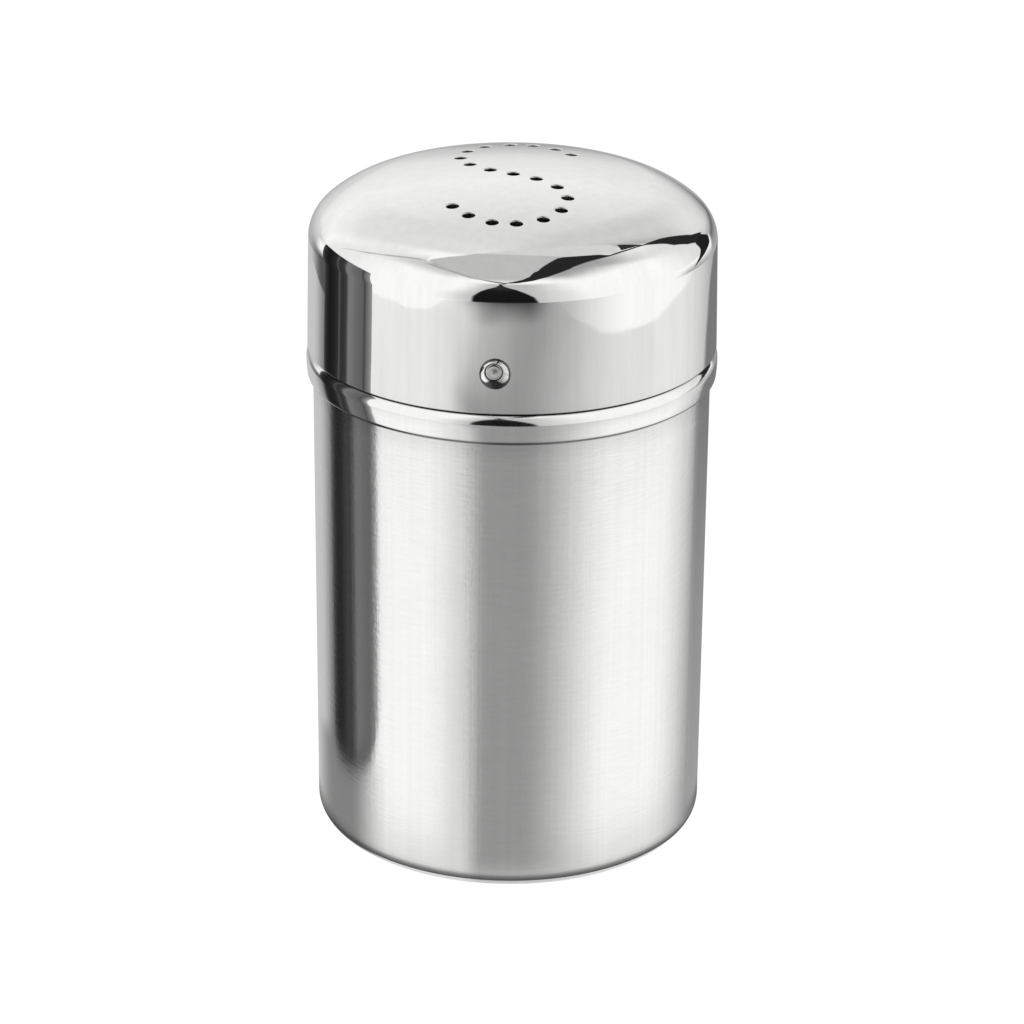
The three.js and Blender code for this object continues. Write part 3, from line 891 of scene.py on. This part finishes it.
# The dark gap between the two white walls, where the camera looks in, its narrow top, and the soft
# shade on the walls beside it.
gap_tone = tone(0, 1, [0, 0.4, 0.6, 1], [0.008, 0.01, 0.028, 0.035])
card("camera_gap", [(-23, -17), (-22, 0), (-18.5, 14), (-14.7, 23), (-10, 30), (-8.4, 35), (-8.8, 41)],
     [(15.5, -17), (12.8, 0), (7.2, 14), (2.4, 23), (-3.6, 30), (-6.2, 35), (-7, 41)], gap_tone,
     far_off(0.36), (0.05, 0.05, 0.01, 0.1))
card("gap_walls", [(-47, -17), (-46, 0), (-38, 14), (-34, 23), (-31, 30), (-30, 36), (-30, 43)],
     [(54, -17), (52, 0), (46, 14), (42, 23), (40, 30), (39, 36), (38, 43)], 0.52, far_off(0.37),
     (0.3, 0.5, 0.02, 0.2))
card("ceiling_line", [(-8.6, -54.5), (-6, -51.6), (-12.3, -45.5), (-16.4, -40.7), (-21.1, -35)],
     [(-4.6, -54.5), (-2, -48.4), (-9.4, -44.2), (-13.5, -39.4), (-18.4, -33.8)], 0.06, overhead(1.5),
     (0.3, 0.3, 0.02, 0.6))
# The grey ceiling in two tones, and the soft fold where it meets the left wall.
card("ceiling", [(-6.7, -49.5), (-10.9, -45), (-19.9, -34.7), (-23.1, -23.1), (-26.3, -10.3), (-27.6, 3.2),
                 (-14.1, 7.7), (-10.3, 10.3)],
     [(-5.5, -50), (2, -45), (7, -37), (9, -26), (10, -12), (12.5, 0), (14.5, 6.4), (14.5, 7.5)],
     0.53, overhead(1.7), (0.06, 0.0, 0.3, 0.01))
card("ceiling_back", [(-10.3, 10.3), (-2, 14.6), (6.4, 18.6), (16, 21.4), (25.7, 23.8)],
     [(13, 6), (20, 9), (24.5, 10.9), (28, 13), (31, 18)], 0.68, overhead(1.75), (0.06, 0.0, 0.01, 0.1))
card("ceiling_edge", [(-12.5, -46), (-21.9, -35), (-25.3, -23.1), (-28.3, -10.3), (-29.6, 3.2)],
     [(-8, -44), (-16.4, -34), (-19.1, -23.1), (-22.3, -10.3), (-22.6, 2)], 0.4, overhead(1.65),
     (0.4, 0.6, 0.3, 0.1))
card("ceiling_shadow", [(-30, -46), (-42, -27), (-47, -8), (-50, 10), (-50, 26)],
     [(-14, -42), (-22, -24), (-25.5, -10), (-27, 3), (-22, 10)], 0.62, overhead(1.8),
     (0.95, 0.0, 0.3, 0.3))
card("fold", [(-26.5, 1), (-37.8, 10.4), (-49.8, 14.2), (-62, 29), (-67, 36)],
     [(-28.5, 6.5), (-39.4, 15.4), (-53, 21.8), (-66.6, 35), (-71, 39)], 0.42, overhead(1.5),
     (0.5, 0.5, 0.02, 0.4))
# The black gap between the ceiling and the right wall, with a soft shadow beside it.
card("gap_shadow", [(10.5, -42), (14.2, -30), (17, -16.7), (17.9, -5.1), (27, 9), (34, 24)],
     [(26, -52), (40, -36), (47, -18), (50, -3), (54, 10), (56, 26)], 0.36, overhead(1.55),
     (0.0, 0.95, 0.3, 0.3))
card("gap", [(-6.7, -49.5), (0, -45), (4.5, -38.6), (7.1, -29.6), (7.5, -16.7), (9.3, -6.4), (12.9, 6.4),
             (23.8, 10.9), (27.6, 11.3), (30.6, 18), (34.1, 26), (36.6, 34.7), (42.4, 45), (46.3, 52.7),
             (49.5, 60.4)],
     [(-6.2, -51.4), (3, -48.6), (10.5, -42), (16.2, -30), (19, -16.7), (19.9, -5.1), (23.1, 1.3),
      (28.3, 9.6), (29, 11.2), (31.6, 17), (35, 25.9), (41.5, 31.5), (56, 39), (59.5, 45.5), (61.5, 48.6)],
     0.02, overhead(1.5), (0.04, 0.08, 0.05, 0.01))
card("gap_corner", [(25.4, 23.5), (29.6, 17.4)], [(34.1, 25.7), (34.1, 25.7)], 0.03, overhead(1.5))
card("gap_foot", [(128.2, 14), (127.5, 10), (127, 2), (124, -5), (122, -9), (119.5, -14)],
     [(140, 14), (140.5, 10), (143.5, 2), (142, -4), (128, -9), (121, -13.5)], 0.014,
     far_off(0.36), (0.06, 0.06, 0.0, 0.02))
# The back wall: grey, darker towards the black gap, and darkest along its foot.
way_round = np.array([
    (134, 0.6), (140, 0.8), (150, 0.87), (162, 0.85), (172, 0.91), (180, 0.98), (210, 1.03),
    (224, 1.04), (236, 1.1),
])
turn_of = np.interp(np.linspace(129, 240, ACROSS), *way_round.T)
rise_of = tone(2, 80, [2, 4, 8, 11, 21, 28, 36, 50, 80],
               [0.42, 0.57, 0.76, 0.83, 0.92, 0.86, 0.76, 0.745, 0.75])
card("back_wall", [(129, 2), (127, 28), (127, 54), (127, 80)], [(236, 2), (236, 28), (246, 54), (250, 80)],
     rise_of * turn_of, far_off(1.9), (0.03, 0.12, 0.0, 0.08))
plain_card("left_wall", (228, 288), (-2, 66), 0.86, far_off(1.85), (0.25, 0.7, 0.1, 0.2))
plain_card("right_wall_end", (92, 131), (-10, 60), 0.76, far_off(1.85), (0.9, 0.0, 0.1, 0.3))
rises = [-16, -8, -3, -1, 1, 3, 4.5, 8]
at_right, at_back, at_left = (tone(-16.5, 8, rises, values) for values in (
    [0.42, 0.3, 0.15, 0.2, 0.35, 0.45, 0.52, 0.62],
    [0.43, 0.5, 0.44, 0.38, 0.4, 0.5, 0.6, 0.76],
    [0.42, 0.5, 0.57, 0.6, 0.63, 0.7, 0.74, 0.82],
))
azimuth = np.linspace(143, 238, ACROSS)
low_tone = (at_back + (1 - fade(azimuth - 162, 14)) * (at_right - at_back)
            + fade(azimuth - 184, 14) * (at_left - at_back))
plain_card("back_low", (143, 238), (-16.5, 8), low_tone, far_off(0.38), (0.03, 0.1, 0.0, 0.25))
plain_card("left_low_dark", (214, 244), (-18, -4), 0.09, far_off(0.35), (0.85, 0.0, 0.0, 0.7))
card("right_low", [(98, -19), (102, -4)], [(148, -19), (148, -4)], 0.44, far_off(0.37),
     (0.4, 0.1, 0.0, 0.85))
# Shades on the floor: in front, at both sides, and around the foot.
# A light grey band of painted shade further out on the floor, seen only in the steel.
far_shade_end = np.array([
    (-60, 0.36), (-50, 0.345), (-38, 0.336), (-31, 0.338), (-22, 0.345), (-14, 0.37), (0, 0.42), (8, 0.42),
    (11.5, 0.35), (18, 0.333), (24, 0.322), (30, 0.318), (37, 0.315), (44, 0.319), (52, 0.323), (60, 0.335),
    (72, 0.4),
])
far_shade_tone = tone(0, 16, [0, 7, 9, 10, 12, 13, 16], [0.86, 0.84, 0.8, 0.78, 0.78, 0.83, 0.85])
card("floor_far_shade", far_shade_end * [1, 0] + [0, 0.17], far_shade_end, far_shade_tone, on_floor(1),
     (0.6, 0.0, 0.1, 0.1))
plain_card("floor_left", (-92, -62), (0, 0.42), 0.58, on_floor(2), (0.02, 0.1, 0.004, 0.02))
plain_card("floor_left_dark", (-74, -59), (0.02, 0.42), 0.04, on_floor(3), (0.95, 0.0, 0.05, 0.02))
plain_card("floor_front_edge", (-26, -8), (0, 0.36), 0.7, on_floor(4), (0.8, 0.15, 0.004, 0.1))
paler = (fade(np.linspace(-0.31, 0.69, ALONG), 0.29)[:, None]
         * (1 - fade(np.linspace(0, 1, ACROSS), 0.45)))
card("floor_front", [(-14, -0.006), (-14, 0.2), (-18.5, 0.27), (-17, 0.3), (-14.5, 0.33), (-14, 0.4)],
     [(32, -0.006), (33.5, 0.2), (34, 0.27), (34.3, 0.3), (34.6, 0.33), (35, 0.4)], 0.31 + 0.25 * paler,
     on_floor(5), (0.14, 0.64, 0.004, 0.01))
plain_card("floor_front_dark", (-19, 12), (0.328, 0.385), 0.03, on_floor(6), (0.5, 0.25, 0.45, 0.0))
plain_card("floor_beside", (-84, -36), (-0.004, 0.04), 0.24, on_floor(6), (0.4, 0.38, 0.02, 0.05))
right_tone = tone(0, 0.42, [0.17, 0.26], [0.24, 0.42])
card("floor_right", [(45, 0.0), (52, 0.42)], [(92, 0.0), (92, 0.42)], right_tone, on_floor(7),
     (0.65, 0.1, 0.004, 0.02))
strip_start = [
    (66, 0.0), (65.5, 0.1), (65, 0.2), (68, 0.27), (71.5, 0.31), (78.5, 0.34), (83, 0.37), (86, 0.42),
]
strip_tone = tone(0, 7, [0, 1, 2, 7], [0.36, 0.29, 0.2, 0.19])
card("floor_right_strip", strip_start, [(97, d) for _, d in strip_start], strip_tone, on_floor(8),
     (0.1, 0.05, 0.004, 0.02))
# Painted shade on the floor close around the foot, seen only in the steel.
card("foot_shade", [(-180, -0.006), (180, -0.006)], [(-180, 0.028), (180, 0.028)], 0.74,
     on_floor(1, turn=1), (0.0, 0.9, 0.0, 0.0))
card("foot_shadow", [(-180, -0.008), (180, -0.008)], [(-180, 0.0036), (180, 0.0036)], 0.05,
     on_floor(9, turn=1), (0.0, 0.4, 0.0, 0.0))

# A dark round jar close by at the left. Its stripes are painted reflections on its own glossy side,
# and its foot is drawn darker, a painted shade where it stands.
JAR_PLACE, JAR_RADIUS, JAR_HEIGHT = (-0.0805, -0.0077), 0.0247, 0.117
FOOT_INSET, FOOT_ROUND = 0.0013, 0.003
JAR_STRIPES = np.array([
    (-90, 0.3), (-66, 0.26), (-52, 0.14), (-47, 0.06), (-43, 0.12), (-30, 0.15), (-19, 0.2), (-15, 0.05),
    (-9, 0.03), (-6, 0.045), (-4, 0.09), (-2, 0.03), (5, 0.016), (15, 0.011), (24, 0.02), (60, 0.1),
])
side = np.linspace(-90, 70, 161)
rise = np.concatenate([np.linspace(0, 0.012, 9), np.linspace(0.016, JAR_HEIGHT, 40)])[:, None]
jar_radius = JAR_RADIUS - FOOT_INSET * (1 - fade(rise, FOOT_ROUND))
jar_level = JAR_PLACE + jar_radius[..., None] * unit_at(np.radians(side))
jar_spots = np.dstack([jar_level, rise + 0 * side])
jar_tone = np.interp(side, *JAR_STRIPES.T) * (0.25 + 0.75 * fade(rise - 0.001, 0.007))
show_in_steel("dark_jar", jar_spots, fade(side + 90, 12) * fade(70 - side, 30), jar_tone)

# Camera, in front and looking down by 23 degrees, with the long lens and the slight roll that the
# outline in the photograph gives.
LENS, SENSOR = 125.1, 36.0
TARGET = Vector((0.00027, 0, 0.0579))
DISTANCE = 0.6387
RISE, ROLL = np.radians(23.02), np.radians(0.51)
ahead = Vector((0, np.cos(RISE), -np.sin(RISE)))
level_right, upright = Vector((1, 0, 0)), Vector((0, np.sin(RISE), np.cos(RISE)))
rolled_right = np.cos(ROLL) * level_right + np.sin(ROLL) * upright
rolled_up = np.cos(ROLL) * upright - np.sin(ROLL) * level_right
camera_data = bpy.data.cameras.new("camera")
camera_data.lens, camera_data.sensor_width = LENS, SENSOR
camera_data.clip_start = 0.01
camera = bpy.data.objects.new("camera", camera_data)
turn = Matrix((rolled_right, rolled_up, -ahead)).transposed().to_4x4()
camera.matrix_world = Matrix.Translation(TARGET - DISTANCE * ahead) @ turn
bpy.context.scene.collection.objects.link(camera)
bpy.context.scene.camera = camera
bpy.context.scene.view_settings.view_transform = "Standard"
